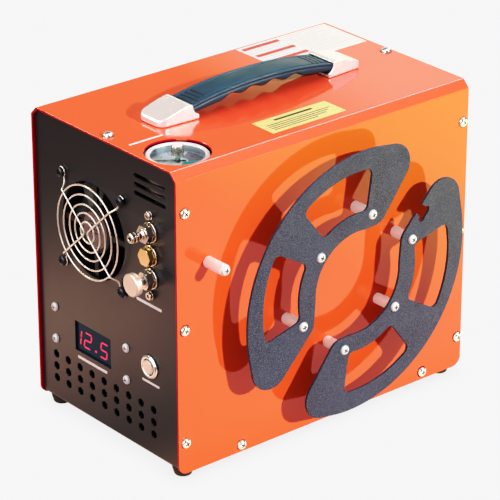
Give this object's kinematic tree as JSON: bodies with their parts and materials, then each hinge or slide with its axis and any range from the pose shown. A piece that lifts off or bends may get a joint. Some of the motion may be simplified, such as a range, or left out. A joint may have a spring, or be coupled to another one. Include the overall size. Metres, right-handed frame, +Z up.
{
  "type": "portable air compressor",
  "caption": "Portable high-pressure air compressor: folded sheet case with control panel, fan, gas fittings, contact gauge, strap handle and cable-winding plates on the side.",
  "frame": {"origin": "centre of the object's footprint box, on the ground plane under the rubber feet", "axes": "+X along the case away from the control panel, +Y from the reel side to the plain side, +Z up"},
  "size_m": [0.299, 0.191, 0.2607],
  "materials": {
    "orange_paint": "glossy orange enamel on folded sheet",
    "black_paint": "satin black powder coat",
    "slate_paint": "fine-textured slate grey powder coat",
    "rubber": "moulded black rubber",
    "grip_rubber": "matt dark blue-grey moulded grip",
    "satin_metal": "satin silver",
    "black_plastic": "matt black moulding",
    "black_screw": "black oxide",
    "chrome": "bright plating",
    "zinc": "bright zinc plate",
    "steel": "machined steel",
    "alloy": "cast and machined aluminium",
    "brass": "machined brass",
    "nylon": "natural nylon",
    "dial_face": "printed gauge dial",
    "pointer": "matt black pointer",
    "clear_lens": "clear window",
    "smoked_lens": "smoked display window"
  },
  "bodies": {
    "case": {"base_tray": "black_paint", "top_cover": "orange_paint", "foot_front_left": "rubber", "foot_front_right": "rubber", "foot_rear_left": "rubber", "foot_rear_right": "rubber", "handle_grip": "grip_rubber", "handle_cap_front": "satin_metal", "handle_cap_rear": "satin_metal", "fan_frame": "black_plastic", "fan_guard": "chrome", "fan_screw_1": "black_screw", "fan_screw_2": "black_screw", "fan_screw_3": "black_screw", "fan_screw_4": "black_screw", "gauge_case": "steel", "gauge_bezel": "chrome", "gauge_dial": "dial_face", "gauge_lens": "clear_lens", "display_module": "black_plastic", "display_lens": "smoked_lens", "button_body": "chrome", "button_nut": "zinc", "manifold_block": "alloy", "washer_fill": "zinc", "washer_blank": "zinc", "washer_bleed": "zinc", "fill_nipple": "chrome", "blanking_plug": "brass", "bleed_valve_body": "chrome", "manifold_screw_upper": "zinc", "manifold_screw_lower": "zinc", "reel_plate_left": "slate_paint", "reel_plate_right": "slate_paint", "reel_standoff_1": "nylon", "reel_standoff_2": "nylon", "reel_standoff_3": "nylon", "reel_standoff_4": "nylon", "reel_standoff_5": "nylon", "reel_standoff_6": "nylon", "reel_standoff_7": "nylon", "power_supply": "alloy", "power_inlet": "black_plastic", "motor_case": "steel", "motor_bracket": "steel", "crankcase": "alloy", "cylinder_low_stage": "alloy", "cylinder_high_stage": "alloy", "separator_bottle": "alloy", "high_pressure_line": "steel", "delivery_line": "steel"},
    "fan_rotor": {"fan_impeller": "black_plastic"},
    "start_button": {"button_cap": "satin_metal"},
    "bleed_stem": {"bleed_spindle": "steel"},
    "bleed_handwheel": {"bleed_knob": "satin_metal"},
    "gauge_hand": {"gauge_needle": "pointer"},
    "set_point": {"gauge_set_knob": "satin_metal"},
    "motor_rotor": {"motor_pinion": "steel"},
    "crank": {"crank_gear": "steel"}
  },
  "joints": [
    {"name": "fan_spin", "type": "hinge", "parent": "case", "child": "fan_rotor", "pos_m": [-0.114, 0.0251, 0.1664], "axis": [1, 0, 0], "continuous": true},
    {"name": "button_press", "type": "slide", "parent": "case", "child": "start_button", "axis": [1, 0, 0], "range_m": [0, 0.002], "stiffness_N_per_m": 600},
    {"name": "bleed_travel", "type": "slide", "parent": "case", "child": "bleed_stem", "axis": [-1, 0, 0], "range_m": [0, 0.0016]},
    {"name": "bleed_turn", "type": "hinge", "parent": "bleed_stem", "child": "bleed_handwheel", "pos_m": [-0.149, -0.0435, 0.153], "axis": [-1, 0, 0], "range_deg": [0, 540]},
    {"name": "gauge_reading", "type": "hinge", "parent": "case", "child": "gauge_hand", "pos_m": [-0.105, -0.0435, 0.2392], "axis": [0, 0, -1], "range_deg": [0, 270]},
    {"name": "set_point_turn", "type": "hinge", "parent": "case", "child": "set_point", "pos_m": [-0.105, -0.0435, 0.245], "axis": [0, 0, -1], "range_deg": [0, 300]},
    {"name": "crank_spin", "type": "hinge", "parent": "case", "child": "crank", "pos_m": [0.0025, -0.0305, 0.102], "axis": [1, 0, 0], "continuous": true},
    {"name": "motor_spin", "type": "hinge", "parent": "case", "child": "motor_rotor", "pos_m": [0.0035, -0.0305, 0.066], "axis": [1, 0, 0], "continuous": true}
  ],
  "couplings": [
    {"joint": "bleed_travel", "follows": "bleed_turn", "m_per_rad": 0.00015915},
    {"joint": "motor_spin", "follows": "crank_spin", "ratio": -3}
  ]
}
